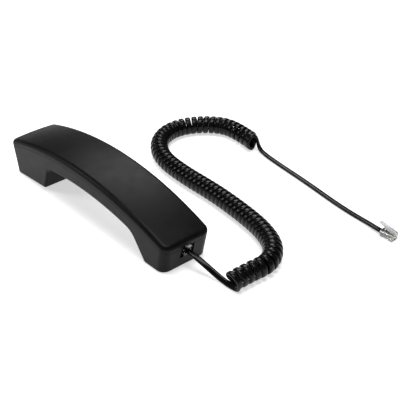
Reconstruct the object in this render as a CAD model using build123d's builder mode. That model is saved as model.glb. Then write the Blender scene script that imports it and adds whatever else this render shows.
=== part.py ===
from build123d import *
import os
from math import cos, pi, radians, sin, tan

# Corded telephone handset, lying face down, with a curly cord and two small modular plugs.
# Frame: X along the handset towards the mouthpiece and the cord, Y across it, Z up.
# The origin is on the table, under the middle of the handset. Millimetres.

# ---------------------------------------------------------------- handset outline
handset_length = 204.4
handset_width = 45.6
arc_centre_x = -7.4          # centre of the arc that the whole handle follows
arc_centre_z = -265.2
seam_radius = 304.5          # parting line between the two shells
rear_height = 6.2            # parting line to the top of the crowned rear shell
crown_rise = 1.1             # how much the rear shell's middle stands above its edges
foot_half_length = 98.3      # where the tapering end faces meet the table
foot_half_width = 21.7
seam_z_far = 24.0            # height at which the far end face reaches its full length
seam_z_near = 18.8
far_corner = 5.0
near_corner = 7.2
wall = 2.0
seam_gap = 0.3
lip_clearance = 0.12         # between the rear shell's lip and the front shell's wall
lip_reach = 1.6              # how far the lip passes the seam
lip_thickness = 1.0          # wall to the lip's inner face
top_edge_radius = 3.9
foot_edge_radius = 2.0
ear_tilt = radians(4.07)      # the earpiece's face leans towards the mouthpiece
ear_inner_x = -55.5          # where the earpiece's face ends under the handle
mouth_inner_x = 76.4
underside = ((-47.2, 25.0), (8.0, 28.2), (62.0, 20.8))   # arc under the handle

# ---------------------------------------------------------------- plug, jack and cord
plug_length = 11.7
plug_width = 7.65
plug_height = 6.0
jack_axis_z = 14.0
plug_rear_x = 101.6          # rear face of the plug that sits in the jack
plug_angle = 6.0             # heading of the free plug on the table, degrees from +X
plug_rear = (169.7, 140.1)   # rear face of the free plug
contact_pitch = 1.02
contact_rows = [contact_pitch * k for k in (-1.5, -0.5, 0.5, 1.5)]
seated_latch_angle = 8.0     # the lever is held down inside the jack
free_latch_angle = 20.0
latch_length = 14.5
cord_width = 4.8
cord_thickness = 2.4
lead_diameter = 3.6          # a round tube of about the flat cord's section
curl_diameter = 15.9


def plan_prism(inset):
    """The outline seen from above, with tapering ends and sides."""
    with BuildPart() as prism:
        for height in (-4.0, 48.0):
            x_far = -foot_half_length - (handset_length / 2 - foot_half_length) * height / seam_z_far
            x_near = foot_half_length + (handset_length / 2 - foot_half_length) * height / seam_z_near
            half_width = foot_half_width + (handset_width / 2 - foot_half_width) * height / 39
            with BuildSketch(Plane.XY.offset(height)) as outline:
                with Locations(((x_far + x_near) / 2, 0)):
                    Rectangle(x_near - x_far - 2 * inset, 2 * (half_width - inset))
                fillet(outline.vertices().group_by(Axis.X)[0], far_corner - inset)
                fillet(outline.vertices().group_by(Axis.X)[-1], near_corner - inset)
        loft()
    return prism.part


def ear_face_z(x):
    """Height of the earpiece's slanting face."""
    return (x + foot_half_length) * tan(ear_tilt)


def side_prism(inset):
    """The outline seen from the side: earpiece, underside of the handle, mouthpiece."""
    ear_foot = (ear_inner_x, ear_face_z(ear_inner_x))
    far, top = handset_length / 2 + 13, 60                     # well outside the other outlines
    corners = ((ear_foot, 3), (underside[0], 8), (underside[2], 16), ((mouth_inner_x, 0), 3))
    with BuildPart() as prism:
        with BuildSketch(Plane.XZ) as outline:
            with BuildLine():
                Polyline(underside[2], (mouth_inner_x, 0), (far, 0), (far, top), (-far, top),
                         (-far, ear_face_z(-far)), ear_foot, underside[0])
                ThreePointArc(*underside)
            make_face()
            for corner, radius in corners:
                fillet(outline.vertices().sort_by_distance((*corner, 0))[0], radius)
            if inset:
                offset(amount=-inset, kind=Kind.INTERSECTION)
        extrude(amount=40, both=True)
    return prism.part


# The handle's arc: a plane through its centre, leaning back, from which rings are turned.
arc_sweep = 60.0
arc_start = Plane(origin=(arc_centre_x, 0, arc_centre_z), x_dir=(0, 1, 0),
                  z_dir=(cos(radians(arc_sweep / 2)), 0, sin(radians(arc_sweep / 2))))
arc_axis = Axis((arc_centre_x, 0, arc_centre_z), (0, 1, 0))


def crown_ring(inset):
    """Everything under the crowned, arched rear surface."""
    middle = seam_radius + rear_height - inset
    edge = middle - crown_rise
    half = handset_width / 2 + 2
    with BuildPart() as ring:
        with BuildSketch(arc_start):
            with BuildLine():
                ThreePointArc((-half, edge), (0, middle), (half, edge))
                Polyline((half, edge), (half, 200), (-half, 200), (-half, edge))
            make_face()
        revolve(axis=arc_axis, revolution_arc=arc_sweep)
    return ring.part


def arc_band(inner_radius, outer_radius):
    """A ring of the handle's arc, wider than the handset."""
    with BuildPart() as band:
        with BuildSketch(arc_start):
            with Locations((0, (inner_radius + outer_radius) / 2)):
                Rectangle(60, outer_radius - inner_radius)
        revolve(axis=arc_axis, revolution_arc=arc_sweep)
    return band.part


def whole_body(inset):
    with BuildPart() as body:
        add(side_prism(inset))
        add(plan_prism(inset), mode=Mode.INTERSECT)
        add(crown_ring(inset), mode=Mode.INTERSECT)
    return body.part


def save(builder, name):
    builder.part.label = name
    export_step(builder.part, f"parts/{name}.step")


os.makedirs("parts", exist_ok=True)

# ================================================================ the two shells
outer_body = whole_body(0)
inner_body = whole_body(wall)
rib_limit = whole_body(wall - 0.4)      # ribs and bosses run this far into the walls
above_seam = arc_band(seam_radius + seam_gap, seam_radius + 60)
below_seam = arc_band(200, seam_radius)

# where things sit inside
ear_x = -76.0
ear_plane = Plane(origin=(ear_x, 0, ear_face_z(ear_x)), x_dir=(cos(ear_tilt), 0, sin(ear_tilt)),
                  z_dir=(-sin(ear_tilt), 0, cos(ear_tilt)))
mic_x = 84.0
jack_x = (84.5, 98.2)
jack_z = (jack_axis_z - 4.4, jack_axis_z + 7.0)
jack_half_width = 6.2
opening_half_width = 6.4
opening_low_z = 9.4
opening_depth = 12.0
latch_slot_width = 6.0
latch_slot_top_z = 19.8
screw_places = [(-92.5, 15.3), (-92.5, -15.3), (90.5, 14.3), (90.5, -14.3)]
screw_seat_z = 4.4
column_top_z = 9.0
screw_radius = 1.45
pillar_radius = 3.2          # round the pilot holes, in the rear shell
column_radius = 3.7          # round the screws, in the front shell
pilot_radius = 1.25
weight_places = [(arc_centre_x - 26, 0), (arc_centre_x + 26, 0)]
weight_z = (33.0, 38.0)

with BuildPart() as lip_skirt:                     # hangs inside the front shell's rim
    add(whole_body(wall + lip_clearance))
    add(arc_band(seam_radius - lip_reach, seam_radius + 1), mode=Mode.INTERSECT)

with BuildPart() as rear_lip:                      # joins the skirt to the rear shell's wall
    add(whole_body(wall - 0.3))
    add(arc_band(seam_radius + seam_gap, seam_radius + 2), mode=Mode.INTERSECT)
    add(lip_skirt.part)
    add(whole_body(wall + lip_thickness), mode=Mode.SUBTRACT)

with BuildPart() as rear_pillars:
    with Locations(*[(x, y, column_top_z + 0.05) for x, y in screw_places]):
        Cylinder(pillar_radius, 30, align=(Align.CENTER, Align.CENTER, Align.MIN))
    add(rib_limit, mode=Mode.INTERSECT)
    with Locations(*[(x, y, column_top_z) for x, y in screw_places]):
        Cylinder(pilot_radius, 10, align=(Align.CENTER, Align.CENTER, Align.MIN), mode=Mode.SUBTRACT)

with BuildPart() as rear_shell:
    add(outer_body)
    add(inner_body, mode=Mode.SUBTRACT)
    add(above_seam, mode=Mode.INTERSECT)
    fillet(rear_shell.faces().sort_by(Axis.Z)[-1].edges(), top_edge_radius)
    add(rear_lip.part)
    add(rear_pillars.part)
    with Locations((handset_length / 2, 0, jack_axis_z)):      # room for the plug and its latch
        Box(opening_depth, 2 * opening_half_width, 2 * (jack_axis_z - opening_low_z), mode=Mode.SUBTRACT)
        Box(opening_depth, latch_slot_width, 13.4, mode=Mode.SUBTRACT)

with BuildPart() as front_ribs:
    with BuildSketch(ear_plane.offset(1)):                     # ring round the receiver
        Circle(18.8)
        Circle(17.3, mode=Mode.SUBTRACT)
    extrude(amount=6)
    with BuildSketch(Plane.XY.offset(1)):                      # ring round the microphone
        with Locations((mic_x, 0)):
            Circle(7.4)
            Circle(6.4, mode=Mode.SUBTRACT)
    extrude(amount=5)
    with BuildSketch(Plane.XY.offset(1)):                      # shelf under the jack
        with Locations((95, 0)):
            Rectangle(6.6, 8)
            Rectangle(4.6, 6, mode=Mode.SUBTRACT)
    extrude(amount=jack_z[0] - 1)
    with Locations(*[(x, y, 0) for x, y in screw_places]):
        Cylinder(column_radius, column_top_z, align=(Align.CENTER, Align.CENTER, Align.MIN))
    with Locations(*[(x, y, 20) for x, y in weight_places]):
        Cylinder(3.4, weight_z[0] - 20, align=(Align.CENTER, Align.CENTER, Align.MIN))
    add(rib_limit, mode=Mode.INTERSECT)

with BuildPart() as front_shell:
    add(outer_body)
    add(inner_body, mode=Mode.SUBTRACT)
    add(below_seam, mode=Mode.INTERSECT)
    low_faces = front_shell.faces().filter_by(lambda face: face.normal_at().Z < -0.3 and face.area > 100)
    low_edges = [edge for face in low_faces for edge in face.edges()]
    fillet([edge for edge in low_edges if low_edges.count(edge) == 1], foot_edge_radius)
    add(front_ribs.part)
    with Locations(*[(x, y, -1) for x, y in screw_places]):
        Cylinder(2.9, screw_seat_z + 1, align=(Align.CENTER, Align.CENTER, Align.MIN), mode=Mode.SUBTRACT)
        Cylinder(1.6, column_top_z + 2, align=(Align.CENTER, Align.CENTER, Align.MIN), mode=Mode.SUBTRACT)
    with Locations(*[(x, y, 30.5) for x, y in weight_places]):
        Cylinder(pilot_radius, 6, align=(Align.CENTER, Align.CENTER, Align.MIN), mode=Mode.SUBTRACT)
    with BuildSketch(ear_plane.offset(-1)):                    # shallow round dish of the earpiece
        Circle(17)
    extrude(amount=1.7, mode=Mode.SUBTRACT)
    with BuildSketch(ear_plane.offset(-1)):
        Circle(0.85)
        with PolarLocations(5, 6):
            Circle(0.85)
        with PolarLocations(10, 12):
            Circle(0.85)
    extrude(amount=5, mode=Mode.SUBTRACT)
    with BuildSketch(Plane.XY.offset(-1)):
        with Locations((mic_x, 0)):
            with GridLocations(3.2, 3.2, 3, 1):
                Circle(0.8)
    extrude(amount=5, mode=Mode.SUBTRACT)
    with Locations((handset_length / 2, 0, (opening_low_z + 24) / 2)):
        Box(opening_depth, 2 * opening_half_width, 24 - opening_low_z, mode=Mode.SUBTRACT)

save(rear_shell, "rear_shell")
save(front_shell, "front_shell")

# ================================================================ receiver (earpiece capsule)
def ear_disc(low, high, radius, bore=0.0):
    """A disc or ring of the receiver, from low to high above the earpiece's face."""
    with BuildPart() as disc:
        with BuildSketch(ear_plane.offset(low)):
            Circle(radius)
            if bore:
                Circle(bore, mode=Mode.SUBTRACT)
        extrude(amount=high - low)
    return disc.part


with BuildPart() as receiver_cloth:
    add(ear_disc(2.02, 2.3, 13.2))
with BuildPart() as receiver_gasket:
    add(ear_disc(2.02, 3.6, 16.8, 13.6))
with BuildPart() as receiver_cap:
    add(ear_disc(3.65, 4.55, 17.0))
    with BuildSketch(ear_plane.offset(3)):
        with PolarLocations(7, 6):
            Circle(1.5)
    extrude(amount=3, mode=Mode.SUBTRACT)
with BuildPart() as receiver_frame:
    add(ear_disc(4.6, 11.0, 17.0, 15.4))
    add(ear_disc(9.6, 11.0, 17.0, 8.3))
    with BuildSketch(ear_plane.offset(9)):
        with PolarLocations(12, 6):
            Circle(1.4)
    extrude(amount=3, mode=Mode.SUBTRACT)
with BuildPart() as receiver_yoke:
    add(ear_disc(7.2, 13.4, 8.25, 6.6))
    add(ear_disc(11.9, 13.4, 8.25))
with BuildPart() as receiver_magnet:
    add(ear_disc(8.42, 11.88, 5.2))
with BuildPart() as receiver_top_plate:
    add(ear_disc(7.2, 8.4, 5.4))
with BuildPart() as receiver_diaphragm:
    add(ear_disc(5.6, 5.85, 14.8))
    add(ear_disc(5.3, 5.7, 14.8, 13.4))
with BuildPart() as receiver_voice_coil:
    add(ear_disc(5.9, 9.2, 6.15, 5.8))
with BuildPart() as receiver_terminal_board:
    with BuildSketch(ear_plane.offset(13.42)):
        Rectangle(7, 11)
    extrude(amount=1.0)

# ================================================================ microphone
def mic_disc(low, high, radius, bore=0.0):
    with BuildPart() as disc:
        with BuildSketch(Plane.XY.offset(low)):
            with Locations((mic_x, 0)):
                Circle(radius)
                if bore:
                    Circle(bore, mode=Mode.SUBTRACT)
        extrude(amount=high - low)
    return disc.part


with BuildPart() as microphone_cloth:
    add(mic_disc(2.02, 2.3, 4.4))
with BuildPart() as microphone_boot:
    add(mic_disc(2.02, 9.2, 6.2, 4.95))
with BuildPart() as microphone_capsule:
    add(mic_disc(2.6, 8.2, 4.85))
    fillet(microphone_capsule.faces().sort_by(Axis.Z)[0].edges(), 0.4)

# ================================================================ weight and screws
with BuildPart() as handle_weight:
    with Locations((arc_centre_x, 0, sum(weight_z) / 2)):
        Box(66, 20, weight_z[1] - weight_z[0])
    chamfer(handle_weight.edges().filter_by(Axis.Z), 2)
    with Locations(*[(x, y, weight_z[0] - 1) for x, y in weight_places]):
        Cylinder(1.7, 10, align=(Align.CENTER, Align.CENTER, Align.MIN), mode=Mode.SUBTRACT)


def self_tapping_screw(length):
    """A pan-head screw with a cross recess, its head under the origin, its tip up."""
    with BuildPart() as screw:
        Cylinder(2.6, 1.8, align=(Align.CENTER, Align.CENTER, Align.MAX))
        fillet(screw.faces().sort_by(Axis.Z)[0].edges(), 0.8)
        with Locations((0, 0, -1.8)):
            Box(0.7, 3.0, 2.0, mode=Mode.SUBTRACT)
            Box(3.0, 0.7, 2.0, mode=Mode.SUBTRACT)
        Cylinder(screw_radius, length, align=(Align.CENTER, Align.CENTER, Align.MIN))
        chamfer(screw.faces().sort_by(Axis.Z)[-1].edges(), 0.8)
    return screw.part


with BuildPart() as shell_screws:
    with Locations(*[(x, y, screw_seat_z) for x, y in screw_places]):
        add(self_tapping_screw(12))
with BuildPart() as weight_screws:
    with Locations(*[Location((x, y, weight_z[1]), (180, 0, 0)) for x, y in weight_places]):
        add(self_tapping_screw(7))

# ================================================================ plugs
def plug_block(plane):
    """Clear body of a plug: x from its rear face to its nose, z up to the latch side."""
    with BuildPart(plane) as block:
        with Locations((plug_length / 2, 0, plug_height / 2)):
            Box(plug_length, plug_width, plug_height)
        with Locations((3.2, 0, plug_height / 2)):            # mouth for the flat cord
            Box(6.6, cord_width + 0.3, cord_thickness + 0.3, mode=Mode.SUBTRACT)
        with Locations((8.4, 0, 2.55)):                       # space for the four conductors
            Box(4.6, 4.3, 1.3, mode=Mode.SUBTRACT)
        with Locations(*[(9.7, row, 0.9) for row in contact_rows]):
            Box(4.1, 0.42, 4.4, mode=Mode.SUBTRACT)
        with Locations((3.6, 0, plug_height)):                # window over the clamping bar
            Box(3.0, 5.2, 1.6, mode=Mode.SUBTRACT)
        with Locations((1.1, plug_width / 2, 3), (1.1, -plug_width / 2, 3)):
            Box(2.4, 0.7, 6.2, mode=Mode.SUBTRACT)
        with Locations((6.6, 0, plug_height)):
            Box(1.0, 5.2, 0.8, mode=Mode.SUBTRACT)
    return block.part


def plug_blades(plane):
    """The four gold contact blades."""
    with BuildPart(plane) as blades:
        with Locations(*[(9.6, row, 1.55) for row in contact_rows]):
            Box(3.2, 0.32, 2.7)
    return blades.part


def plug_conductors(plane):
    """The cord's four insulated conductors, spread out inside the plug."""
    with BuildPart(plane) as conductors:
        with Locations(*[Location((6.55, row, 2.55), (0, 90, 0)) for row in contact_rows]):
            Cylinder(0.44, 4.0, align=(Align.CENTER, Align.CENTER, Align.MIN))
    return conductors.part


def plug_jacket_end(plane):
    """The stripped end of the cord's flat jacket, inside the plug."""
    with BuildPart(plane) as jacket_end:
        with Locations((3.25, 0, plug_height / 2)):
            Box(6.4, cord_width, cord_thickness)
    return jacket_end.part


def latch_lever(plane):
    """The sprung lever on top of a plug: x runs back from its root, z is its thickness."""
    with BuildPart(plane) as lever:
        with BuildSketch(plane.offset(-0.45)):
            with BuildLine():
                Polyline((-0.4, -2.6), (5.0, -2.6), (5.0, -2.0), (7.0, -1.6), (latch_length, -1.6),
                         (latch_length, 1.6), (7.0, 1.6), (5.0, 2.0), (5.0, 2.6), (-0.4, 2.6), (-0.4, -2.6))
            make_face()
        extrude(amount=0.9)
    return lever.part


seated_plane = Plane(origin=(plug_rear_x, 0, jack_axis_z - plug_height / 2), x_dir=(-1, 0, 0),
                     z_dir=(0, 0, 1))
heading = radians(plug_angle)
free_plane = Plane(origin=(*plug_rear, 0), x_dir=(cos(heading), sin(heading), 0), z_dir=(0, 0, 1))
latch_pivot = (plug_length - 0.5, 0, plug_height + 0.65)


def lever_plane(plug_plane, angle):
    """Plane of a lever that rises by angle from its pivot towards the cord."""
    pivot = plug_plane.from_local_coords(Vector(*latch_pivot))
    back = -plug_plane.x_dir
    lean = radians(angle)
    return Plane(origin=pivot, x_dir=back * cos(lean) + Vector(0, 0, sin(lean)),
                 z_dir=Vector(0, 0, cos(lean)) - back * sin(lean))


seated_lever = lever_plane(seated_plane, seated_latch_angle)
free_lever = lever_plane(free_plane, free_latch_angle)
with BuildPart() as handset_plug_body:
    add(plug_block(seated_plane))
with BuildPart() as handset_plug_contacts:
    add(plug_blades(seated_plane))
with BuildPart() as handset_plug_conductors:
    add(plug_conductors(seated_plane))
with BuildPart() as handset_plug_jacket_end:
    add(plug_jacket_end(seated_plane))
with BuildPart() as handset_plug_latch:
    add(latch_lever(seated_lever))
with BuildPart() as line_plug_body:
    add(plug_block(free_plane))
with BuildPart() as line_plug_contacts:
    add(plug_blades(free_plane))
with BuildPart() as line_plug_conductors:
    add(plug_conductors(free_plane))
with BuildPart() as line_plug_jacket_end:
    add(plug_jacket_end(free_plane))
with BuildPart() as line_plug_latch:
    add(latch_lever(free_lever))

# ================================================================ jack
plug_low_z = jack_axis_z - plug_height / 2
plug_top_z = jack_axis_z + plug_height / 2
cavity_x = (plug_rear_x - plug_length - 0.4, 110)     # from the plug's nose out through the end
with BuildPart() as jack_housing:
    with Locations((sum(jack_x) / 2, 0, sum(jack_z) / 2)):
        Box(jack_x[1] - jack_x[0], 2 * jack_half_width, jack_z[1] - jack_z[0])
    with Locations(((cavity_x[0] + cavity_x[1]) / 2, 0, jack_axis_z)):
        Box(cavity_x[1] - cavity_x[0], plug_width + 0.3, plug_height + 0.4, mode=Mode.SUBTRACT)
    with Locations(((cavity_x[0] + cavity_x[1]) / 2, 0, (plug_top_z + latch_slot_top_z) / 2)):
        Box(cavity_x[1] - cavity_x[0], latch_slot_width, latch_slot_top_z - plug_top_z, mode=Mode.SUBTRACT)
    with Locations(*[(sum(jack_x) / 2, row, plug_low_z - 0.6) for row in contact_rows]):
        Box(20, 0.6, 0.9, mode=Mode.SUBTRACT)

with BuildPart() as jack_contacts:
    for row in contact_rows:
        with BuildLine(Plane.XZ.offset(-row)) as spring_line:
            FilletPolyline((82.8, plug_low_z - 0.75), (87.5, plug_low_z - 0.75), (91.5, plug_low_z - 0.45),
                           (96.8, plug_low_z - 0.75), radius=3)
        with BuildSketch(Plane(origin=spring_line.wire() @ 0, z_dir=spring_line.wire() % 0)):
            Circle(0.22)
        sweep(path=spring_line.wire())


# ================================================================ wires and cord
def round_tube(points, diameter, bends=None):
    """A tube along straight runs joined by arcs, each as large as its two runs allow."""
    route = [Vector(*point) for point in points]
    radii = []
    for before, corner, after in zip(route, route[1:], route[2:]):
        turn = (corner - before).get_angle(after - corner)
        shorter = min((corner - before).length, (after - corner).length)
        radii.append(0.45 * shorter / tan(radians(turn) / 2))
    with BuildPart() as tube:
        with BuildLine() as path:
            FilletPolyline(*route, radius=radii)
        with BuildSketch(Plane(origin=path.wire() @ 0, z_dir=path.wire() % 0)):
            Circle(diameter / 2)
        sweep(path=path.wire())
    ideal = pi * diameter ** 2 / 4 * path.wire().length
    print(f"tube: length {path.wire().length:.1f}, volume ratio {tube.part.volume / ideal:.4f}, radii",
          [round(radius, 1) for radius in radii])
    return tube.part


wire_diameter = 0.9
pin_z = plug_low_z - 0.75
with BuildPart() as receiver_wires:
    for row, side in zip(contact_rows[2:], (0, 1)):
        board_end = ear_plane.from_local_coords(Vector(1.5, -2 + 4 * side, 14.65))
        apart = 1.4 * side                       # the second wire lies beside the first
        add(round_tube([(82.8, row, pin_z), (79.5, row + 0.8 + side, pin_z + 1.2), (73.5, 8 + apart, 17),
                        (61, 12.3 + apart, 27), (40, 13.2 + apart, 32.6), (12, 13.6 + apart, 35.6),
                        (-18, 13.6 + apart, 36.0), (-44, 12.2 + apart, 33.5),
                        (-62, 5 + 3.4 * side, 27), (-72, -1 + 4 * side, 22),
                        (board_end.X + 0.2, board_end.Y, board_end.Z)], wire_diameter))
with BuildPart() as microphone_wires:
    for row in contact_rows[:2]:
        add(round_tube([(82.8, row, pin_z), (80.9, row, pin_z), (80.3, row, 8.4)], wire_diameter))

lead_radius = lead_diameter / 2
curl_radius = curl_diameter / 2
plug_mouth_z = plug_height / 2
handset_lead_route = [(plug_rear_x, 0, jack_axis_z), (105.5, 0, jack_axis_z), (112, 1.8, 11.5),
                      (120, 3.4, 8.0), (129, 4.9, 4.4), (137, 6.0, 2.3), (145, 6.3, lead_radius)]
curl_route = [(145, 1.5), (144.3, 20), (146.5, 41), (134.5, 57.5), (112, 67), (84, 71.5), (48, 74.5),
              (8, 74), (-23, 77.5), (-45, 90), (-56, 108), (-56, 127), (-46, 145), (-31, 157.5),
              (-12, 158.8), (7, 156.2)]
line_lead_route = [(5, 157.4, lead_radius), (14, 157.8, lead_radius), (26, 155.6, lead_radius),
                   (48, 153.2, lead_radius), (74, 150.2, lead_radius), (100, 145.8, lead_radius),
                   (124, 142.4, lead_radius), (144, 140.2, lead_radius), (155, 139.4, 2.3),
                   (163, 139.4, plug_mouth_z), (*plug_rear, plug_mouth_z)]

with BuildPart() as cord_lead_handset:
    add(round_tube(handset_lead_route, lead_diameter))
with BuildPart() as cord_curl:
    add(round_tube([(x, y, curl_radius) for x, y in curl_route], curl_diameter))
with BuildPart() as cord_lead_line:
    add(round_tube(line_lead_route, lead_diameter))

pieces = dict(
    receiver_cloth=receiver_cloth, receiver_gasket=receiver_gasket, receiver_cap=receiver_cap,
    receiver_frame=receiver_frame, receiver_yoke=receiver_yoke, receiver_magnet=receiver_magnet,
    receiver_top_plate=receiver_top_plate, receiver_diaphragm=receiver_diaphragm,
    receiver_voice_coil=receiver_voice_coil, receiver_terminal_board=receiver_terminal_board,
    microphone_cloth=microphone_cloth, microphone_boot=microphone_boot,
    microphone_capsule=microphone_capsule, handle_weight=handle_weight, shell_screws=shell_screws,
    weight_screws=weight_screws, jack_housing=jack_housing, jack_contacts=jack_contacts,
    receiver_wires=receiver_wires, microphone_wires=microphone_wires,
    handset_plug_body=handset_plug_body, handset_plug_contacts=handset_plug_contacts,
    handset_plug_conductors=handset_plug_conductors, handset_plug_jacket_end=handset_plug_jacket_end,
    handset_plug_latch=handset_plug_latch, line_plug_body=line_plug_body,
    line_plug_contacts=line_plug_contacts, line_plug_conductors=line_plug_conductors,
    line_plug_jacket_end=line_plug_jacket_end, line_plug_latch=line_plug_latch,
    cord_lead_handset=cord_lead_handset, cord_curl=cord_curl, cord_lead_line=cord_lead_line)
for name, builder in pieces.items():
    save(builder, name)
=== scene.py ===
from math import copysign, cos, exp, pi, radians, sin

import bmesh
import bpy
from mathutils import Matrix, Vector


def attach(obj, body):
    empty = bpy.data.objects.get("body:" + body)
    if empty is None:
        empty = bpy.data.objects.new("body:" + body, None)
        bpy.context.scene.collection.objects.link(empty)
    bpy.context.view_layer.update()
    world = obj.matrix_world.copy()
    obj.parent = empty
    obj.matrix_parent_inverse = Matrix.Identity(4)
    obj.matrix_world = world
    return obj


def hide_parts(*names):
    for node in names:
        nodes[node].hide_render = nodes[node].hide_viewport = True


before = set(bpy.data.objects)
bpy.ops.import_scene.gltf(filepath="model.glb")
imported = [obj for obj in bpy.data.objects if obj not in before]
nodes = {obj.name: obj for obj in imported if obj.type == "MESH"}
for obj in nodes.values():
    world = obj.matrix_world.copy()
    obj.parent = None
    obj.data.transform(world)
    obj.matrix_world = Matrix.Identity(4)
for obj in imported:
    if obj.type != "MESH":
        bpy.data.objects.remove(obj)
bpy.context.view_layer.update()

MM = 0.001
UP = Vector((0, 0, 1))


def mm(x, y, z):
    """A point given in millimetres."""
    return Vector((x, y, z)) * MM


# ---------------------------------------------------------------- camera
camera_data = bpy.data.cameras.new("camera")
camera_data.lens = 87.1
camera_data.sensor_width = 36
camera_data.clip_start = 0.01
camera = bpy.data.objects.new("camera", camera_data)
camera.location = mm(556.4, -380.7, 439.5)
camera_target = mm(47.3, 64.5, 0)
camera.rotation_euler = (camera_target - camera.location).to_track_quat("-Z", "Y").to_euler()
bpy.context.scene.collection.objects.link(camera)
bpy.context.scene.camera = camera

# ---------------------------------------------------------------- material helpers
BROAD_TO_FINE = 12                 # how much larger the blotches of a finish are than its grain
BANDS_PER_UNIT = 20                # of the wave texture at scale 1


def new_material(name):
    """A material, its node tree and its Principled shader."""
    material = bpy.data.materials.new(name)
    material.use_nodes = True
    tree = material.node_tree
    return material, tree, tree.nodes["Principled BSDF"]


def noise_from(tree, scale, detail=3.0, stretch=(1, 1, 1)):
    """A noise node over object coordinates."""
    where = tree.nodes.new("ShaderNodeTexCoord")
    mapping = tree.nodes.new("ShaderNodeMapping")
    mapping.inputs["Scale"].default_value = stretch
    noise = tree.nodes.new("ShaderNodeTexNoise")
    noise.inputs["Scale"].default_value = scale
    noise.inputs["Detail"].default_value = detail
    tree.links.new(where.outputs["Object"], mapping.inputs["Vector"])
    tree.links.new(mapping.outputs["Vector"], noise.inputs["Vector"])
    return noise


def ramp_between(tree, source, low, high, start=0.35, end=0.65):
    """A colour or grey that runs from low to high as source does."""
    ramp = tree.nodes.new("ShaderNodeValToRGB")
    ramp.color_ramp.elements[0].position = start
    ramp.color_ramp.elements[1].position = end
    ramp.color_ramp.elements[0].color = low
    ramp.color_ramp.elements[1].color = high
    tree.links.new(source, ramp.inputs["Fac"])
    return ramp.outputs["Color"]


def grey(value):
    return (value, value, value, 1)


def tone(colour, factor):
    """The colour made lighter or darker by a factor."""
    return (*[channel * factor for channel in colour], 1)


def add_bump(tree, shader, height, strength, depth):
    """Bump from a height output, depth metres deep."""
    bump_node = tree.nodes.new("ShaderNodeBump")
    bump_node.inputs["Strength"].default_value = strength
    bump_node.inputs["Distance"].default_value = depth
    tree.links.new(height, bump_node.inputs["Height"])
    tree.links.new(bump_node.outputs["Normal"], shader.inputs["Normal"])


def surface(name, colour, roughness, metallic=0.0, grain=400.0, bump=0.1, depth=0.00002,
            variation=0.12, rough_spread=0.06, stretch=(1, 1, 1), specular=0.5):
    """A general finish: colour and roughness that vary a little, and a fine bump."""
    material, tree, shader = new_material(name)
    shader.inputs["Metallic"].default_value = metallic
    shader.inputs["Specular IOR Level"].default_value = specular
    broad = noise_from(tree, grain / BROAD_TO_FINE, 4.0, stretch)
    fine = noise_from(tree, grain, 2.0, stretch)
    colour_out = ramp_between(tree, broad.outputs["Fac"], tone(colour, 1 - variation),
                              tone(colour, 1 + variation))
    tree.links.new(colour_out, shader.inputs["Base Color"])
    rough_out = ramp_between(tree, broad.outputs["Fac"], grey(roughness - rough_spread),
                             grey(roughness + rough_spread))
    tree.links.new(rough_out, shader.inputs["Roughness"])
    add_bump(tree, shader, fine.outputs["Fac"], bump, depth)
    return material


def clear_plastic(name, colour=(0.86, 0.87, 0.87, 1), transmission=0.92, specular=0.5):
    """Clear moulded polycarbonate, with faint flow lines."""
    material, tree, shader = new_material(name)
    shader.inputs["Base Color"].default_value = colour
    shader.inputs["Transmission Weight"].default_value = transmission
    shader.inputs["Specular IOR Level"].default_value = specular
    shader.inputs["IOR"].default_value = 1.5
    flow = noise_from(tree, 260, 3.0, (0.35, 1, 1))
    rough_out = ramp_between(tree, flow.outputs["Fac"], grey(0.05), grey(0.16))
    tree.links.new(rough_out, shader.inputs["Roughness"])
    add_bump(tree, shader, flow.outputs["Fac"], 0.25, 0.00005)
    return material


def woven_cloth(name, thread):
    """Plain weave of the acoustic cloth, thread metres from one thread to the next."""
    material, tree, shader = new_material(name)
    where = tree.nodes.new("ShaderNodeTexCoord")
    weave = []
    for direction in ("X", "Y"):
        wave = tree.nodes.new("ShaderNodeTexWave")
        wave.bands_direction = direction
        wave.inputs["Scale"].default_value = 1 / (thread * BANDS_PER_UNIT)
        tree.links.new(where.outputs["Object"], wave.inputs["Vector"])
        weave.append(wave)
    both = tree.nodes.new("ShaderNodeMath")
    both.operation = "MULTIPLY"
    tree.links.new(weave[0].outputs["Fac"], both.inputs[0])
    tree.links.new(weave[1].outputs["Fac"], both.inputs[1])
    tree.links.new(ramp_between(tree, both.outputs["Value"], grey(0.01), grey(0.05), 0.0, 1.0),
                   shader.inputs["Base Color"])
    add_bump(tree, shader, both.outputs["Value"], 0.6, 0.00005)
    shader.inputs["Roughness"].default_value = 0.9
    return material


# ---------------------------------------------------------------- materials of the CAD nodes
shell_black = surface("shell_black", (0.004, 0.004, 0.0042), 0.4, grain=1500, bump=0.22, depth=0.00003,
                      variation=0.15, rough_spread=0.03, specular=0.1)
inner_black = surface("inner_black", (0.02, 0.02, 0.02), 0.5, grain=900, bump=0.2)
cord_black = surface("cord_black", (0.003, 0.003, 0.0032), 0.24, grain=700, bump=0.12, depth=0.00004,
                     variation=0.2, rough_spread=0.04, specular=0.17)
plug_clear = clear_plastic("plug_clear")
# The seated handset plug is the same clear plastic as the line plug; its grey base colour is painted
# shade from the dark jack it sits in.
plug_clear_painted_shade = clear_plastic("plug_clear_painted_shade", (0.25, 0.25, 0.25, 1), specular=0.15)
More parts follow.
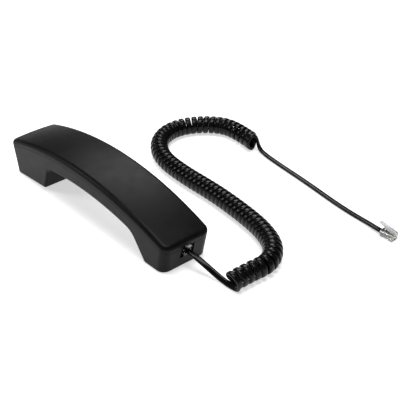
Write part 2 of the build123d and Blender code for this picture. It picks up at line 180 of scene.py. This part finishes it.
# The latches are the same clear plastic as the plug bodies; their paler, less clear finish is a painted
# highlight that makes the seated latch show bright inside the dark jack.
latch_painted_highlight = clear_plastic("latch_painted_highlight", (0.78, 0.78, 0.76, 1), 0.6)
contact_gold = surface("contact_gold", (0.83, 0.6, 0.24), 0.22, metallic=1.0, grain=900, bump=0.1)
zinc_steel = surface("zinc_steel", (0.56, 0.57, 0.6), 0.34, metallic=1.0, grain=700, bump=0.2)
nickel = surface("nickel", (0.66, 0.65, 0.63), 0.2, metallic=1.0, grain=500, bump=0.08)
acoustic_cloth = woven_cloth("acoustic_cloth", 0.00025)
soft_rubber = surface("soft_rubber", (0.025, 0.025, 0.025), 0.72, grain=1100, bump=0.3)
polyester_film = surface("polyester_film", (0.62, 0.56, 0.42), 0.25, grain=300, bump=0.1)
copper = surface("copper", (0.76, 0.33, 0.17), 0.3, metallic=1.0, grain=3000, bump=0.5,
                 stretch=(0.1, 0.1, 4))
board_green = surface("board_green", (0.03, 0.14, 0.06), 0.35, grain=800, bump=0.25)
drawn_aluminium = surface("drawn_aluminium", (0.8, 0.8, 0.81), 0.3, metallic=1.0, grain=700, bump=0.2)
wire_red = surface("wire_red", (0.35, 0.02, 0.015), 0.38, grain=700, bump=0.15)
wire_white = surface("wire_white", (0.72, 0.71, 0.66), 0.4, grain=700, bump=0.15)
conductor_dark = surface("conductor_dark", (0.03, 0.028, 0.03), 0.35, grain=700, bump=0.15)

node_materials = {
    shell_black: ["rear_shell", "front_shell"],
    inner_black: ["receiver_cap", "receiver_frame", "jack_housing"],
    cord_black: ["handset_plug_jacket_end", "line_plug_jacket_end"],
    plug_clear: ["line_plug_body"],
    plug_clear_painted_shade: ["handset_plug_body"],
    latch_painted_highlight: ["handset_plug_latch", "line_plug_latch"],
    contact_gold: ["jack_contacts", "handset_plug_contacts", "line_plug_contacts"],
    zinc_steel: ["receiver_yoke", "receiver_top_plate", "handle_weight", "shell_screws", "weight_screws"],
    nickel: ["receiver_magnet"],
    acoustic_cloth: ["receiver_cloth", "microphone_cloth"],
    soft_rubber: ["receiver_gasket", "microphone_boot"],
    polyester_film: ["receiver_diaphragm"],
    copper: ["receiver_voice_coil"],
    board_green: ["receiver_terminal_board"],
    drawn_aluminium: ["microphone_capsule"],
    wire_red: ["receiver_wires"],
    wire_white: ["microphone_wires"],
    conductor_dark: ["handset_plug_conductors", "line_plug_conductors"],
}
for material, names in node_materials.items():
    for name in names:
        nodes[name].data.materials.clear()
        nodes[name].data.materials.append(material)

# ---------------------------------------------------------------- the cord
# Lengths are in millimetres.
RIBBON_WIDTH = 4.8
RIBBON_THICKNESS = 2.7
SIDE_ROUNDING = 0.9                # exponents of the section: 1 is an ellipse, less is squarer
FACE_ROUNDING = 0.85
GROOVE_DEPTH = 0.12                # as a part of half the thickness
GROOVE_SPREAD = 0.4                # from its middle to where it is about a third as deep
COIL_RADIUS = 6.6                  # axis to the middle of the flat cord
COIL_HEIGHT = 7.95                 # axis above the table
AXIS_SPLINE_STEPS = 24             # points read from the spline per control point
CORD_SPLINE_STEPS = 3
TURN_STEPS = 16                    # control points in a turn; step 0 is its bottom and 8 its top
FIRST_STEP = 3                     # step of the first turn where the lead becomes the curl
FIRST_TURN = 3.9                   # how far along the axis that step is
LAST_STEP = 8                      # step of the last turn where the curl becomes the lead
LAST_TURN = 1.5                    # how near the axis's end the last turn has to reach
PITCHES = ((0, 6.4), (30, 6.2), (36, 5.6), (44, 5.1), (190, 5.2), (230, 5.7), (270, 5.9),
           (300, 5.8), (325, 5.5), (400, 5.5))          # (distance along the axis, pitch)

# Control points, and how many degrees the cord's flat is turned about its line at each.
handset_lead = [(101.6, 0, 14), (105.5, 0, 14), (112, 1.6, 11.5), (120, 3.2, 8.2), (129, 4.6, 4.8),
                (137, 5.6, 2.6), (143.8, 6.5, 2.0), (148.8, 7.4, 1.95)]
handset_lead_twist = [0, 0, 15, 30, 45, 45, 45, 45]
curl_axis = [(145, 1.5), (144.3, 20), (146.5, 41), (134.5, 57.5), (112, 67), (84, 71.5), (48, 74.5),
             (8, 74), (-23, 77.5), (-45, 90), (-56, 108), (-56, 127), (-46, 145), (-31, 157.5),
             (-12, 158.8), (7, 156.2)]
line_lead = [(8.2, 158.7, 12.9), (10.0, 158.9, 9.2), (12.0, 158.5, 5.0), (15.2, 157.9, 2.4),
             (20.5, 157.0, 1.6), (29, 155.5, 1.45), (47, 153.3, 1.4), (71, 150.9, 1.4),
             (91, 148.4, 1.4), (110, 145.7, 1.4), (128, 143.7, 1.4), (144, 142.9, 1.4),
             (155, 142.3, 1.8), (162.5, 140.6, 2.7), (169.7, 140.1, 3.0)]
line_lead_twist = [170, 160, 160, 165, 172, 178, 180, 180, 180, 180, 180, 180, 180, 180, 180]


def spline_points(points, steps):
    """Points read from one open NURBS spline with these control points."""
    curve = bpy.data.curves.new("route", "CURVE")
    curve.dimensions = "3D"
    curve.resolution_u = steps
    spline = curve.splines.new("NURBS")
    spline.points.add(len(points) - 1)
    for spot, point in zip(spline.points, points):
        spot.co = (*point, 1)
    spline.order_u = 3
    spline.use_endpoint_u = True
    holder = bpy.data.objects.new("route", curve)
    bpy.context.scene.collection.objects.link(holder)
    bpy.context.view_layer.update()
    mesh = bpy.data.meshes.new_from_object(holder)
    read = [vertex.co.copy() for vertex in mesh.vertices]
    bpy.data.objects.remove(holder)
    bpy.data.curves.remove(curve)
    bpy.data.meshes.remove(mesh)
    return read


def between(pairs, at):
    """Straight-line value of a list of (place, value) pairs."""
    for (low, low_value), (high, high_value) in zip(pairs, pairs[1:]):
        if at <= high:
            return low_value + (high_value - low_value) * max(0, at - low) / (high - low)
    return pairs[-1][1]


def place_on(path, lengths, at):
    """Point and direction at a distance along a path."""
    at = min(max(at, 0), lengths[-1])
    index = max(i for i, length in enumerate(lengths[:-1]) if length <= at)
    step = path[index + 1] - path[index]
    return path[index] + step * ((at - lengths[index]) / step.length), step.normalized()


def lead_faces(route, twists):
    """Which way the flat of a lead faces at each of its points."""
    faces = []
    for index, twist in enumerate(twists):
        behind, ahead = route[max(index - 1, 0)], route[min(index + 1, len(route) - 1)]
        side = (Vector(ahead) - Vector(behind)).cross(UP).normalized()
        faces.append(-UP * cos(radians(twist)) - side * sin(radians(twist)))
    return faces


axis_path = spline_points([(x, y, COIL_HEIGHT) for x, y in curl_axis], AXIS_SPLINE_STEPS)
axis_lengths = [0.0]
for here, there in zip(axis_path, axis_path[1:]):
    axis_lengths.append(axis_lengths[-1] + (there - here).length)

cord_points = [Vector(point) for point in handset_lead]
cord_faces = lead_faces(handset_lead, handset_lead_twist)
control_radius = COIL_RADIUS / cos(pi / TURN_STEPS)     # a control point lies outside its arc
curl_length = axis_lengths[-1]
# (distance along the axis, how far the bottom or the side of a turn leans forward there)
bottom_leans = ((0, 2.6), (20, 2.2), (34, 1.3), (60, 0.7), (curl_length - 24, 0.7),
                (curl_length - 10, -0.4), (curl_length, -0.4))
side_leans = ((0, 0.5), (24, 0.4), (40, 0), (curl_length - 24, 0), (curl_length - 9, 3.4),
              (curl_length, 3.4))
along = FIRST_TURN
step = FIRST_STEP
while along < curl_length - LAST_TURN or (step - 1) % TURN_STEPS != LAST_STEP:
    turn = 2 * pi * step / TURN_STEPS
    lean = between(bottom_leans, along) * cos(turn) + between(side_leans, along) * sin(turn)
    centre, heading = place_on(axis_path, axis_lengths, along + lean)
    side = heading.cross(UP).normalized()
    outward = side * sin(turn) - UP * cos(turn)
    cord_points.append(centre + outward * control_radius)
    cord_faces.append(outward)
    along += between(PITCHES, along) / TURN_STEPS
    step += 1
cord_points += [Vector(point) for point in line_lead]
cord_faces += lead_faces(line_lead, line_lead_twist)

centre_line = spline_points([point * MM for point in cord_points], CORD_SPLINE_STEPS)
face_line = spline_points([(point + face) * MM for point, face in zip(cord_points, cord_faces)],
                          CORD_SPLINE_STEPS)


def ribbon_outline(count=20):
    """Section of the flat cord: rounded edges and a shallow groove down each face."""
    outline = []
    for index in range(count):
        angle = 2 * pi * index / count
        across = copysign(abs(cos(angle)) ** SIDE_ROUNDING, cos(angle)) * RIBBON_WIDTH / 2
        up = copysign(abs(sin(angle)) ** FACE_ROUNDING, sin(angle)) * RIBBON_THICKNESS / 2
        outline.append((across, up * (1 - GROOVE_DEPTH * exp(-(across / GROOVE_SPREAD) ** 2))))
    return outline


def ribbon_mesh(name, centres, face_points, outline):
    """A mesh tube of that outline along the centres, its flat turned to the face points."""
    mesh = bmesh.new()
    rings = []
    for index, centre in enumerate(centres):
        ahead = centres[min(index + 1, len(centres) - 1)]
        behind = centres[max(index - 1, 0)]
        tangent = (ahead - behind).normalized()
        normal = face_points[index] - centre
        normal = (normal - tangent * normal.dot(tangent)).normalized()
        width = tangent.cross(normal)
        rings.append([mesh.verts.new(centre + width * (across * MM) + normal * (up * MM))
                      for across, up in outline])
    for ring, following in zip(rings, rings[1:]):
        for index in range(len(ring)):
            after = (index + 1) % len(ring)
            mesh.faces.new((ring[index], ring[after], following[after], following[index]))
    mesh.faces.new(list(reversed(rings[0])))
    mesh.faces.new(rings[-1])
    bmesh.ops.recalc_face_normals(mesh, faces=mesh.faces[:])
    data = bpy.data.meshes.new(name)
    mesh.to_mesh(data)
    mesh.free()
    # The two flat ends are the only faces with more than four corners.
    data.polygons.foreach_set("use_smooth", [len(face.vertices) == 4 for face in data.polygons])
    piece = bpy.data.objects.new(name, data)
    bpy.context.scene.collection.objects.link(piece)
    return piece


curly_cord = ribbon_mesh("curly_cord", centre_line, face_line, ribbon_outline())
curly_cord.data.materials.append(cord_black)
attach(curly_cord, "cord")
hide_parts("cord_lead_handset", "cord_curl", "cord_lead_line")


# ---------------------------------------------------------------- floor and light
FLOOR_REACH = 4.0                  # metres from the middle to a side
FLOOR_GAP = 0.0001                 # metres below the table's level, clear of the CAD solids


def white_floor():
    """The white ground, which glows a little so that it stays white round the object."""
    material, _, shader = new_material("floor_white")
    shader.inputs["Base Color"].default_value = grey(0.9)
    shader.inputs["Roughness"].default_value = 0.9
    shader.inputs["Emission Color"].default_value = grey(1)
    shader.inputs["Emission Strength"].default_value = 0.6
    shader.inputs["Specular IOR Level"].default_value = 0.1
    data = bpy.data.meshes.new("floor")
    corners = [(x * FLOOR_REACH, y * FLOOR_REACH, 0) for x, y in ((-1, -1), (1, -1), (1, 1), (-1, 1))]
    data.from_pydata(corners, [], [(0, 1, 2, 3)])
    data.materials.append(material)
    floor = bpy.data.objects.new("floor", data)
    floor.location.z = -FLOOR_GAP
    bpy.context.scene.collection.objects.link(floor)


def softbox(name, place, target, size, power):
    """A square area light, size metres wide and power watts strong, turned to its target."""
    light = bpy.data.lights.new(name, "AREA")
    light.size = size
    light.energy = power
    box = bpy.data.objects.new(name, light)
    box.location = place
    box.rotation_euler = (Vector(target) - Vector(place)).to_track_quat("-Z", "Y").to_euler()
    bpy.context.scene.collection.objects.link(box)


white_floor()
middle = (0.03, 0.07, 0)           # of the handset and cord, on the table
softbox("softbox_top", (0.1, 0.0, 1.3), middle, 0.7, 12)
softbox("softbox_back", (-0.8, 0.75, 1.0), middle, 0.55, 6)
softbox("softbox_left", (-0.9, -0.75, 0.75), (0.03, 0.0, 0), 0.4, 4)
world = bpy.data.worlds.new("studio")
world.use_nodes = True
background = world.node_tree.nodes["Background"]
background.inputs["Color"].default_value = grey(1)
background.inputs["Strength"].default_value = 0.1
bpy.context.scene.world = world
bpy.context.scene.view_settings.view_transform = "Standard"
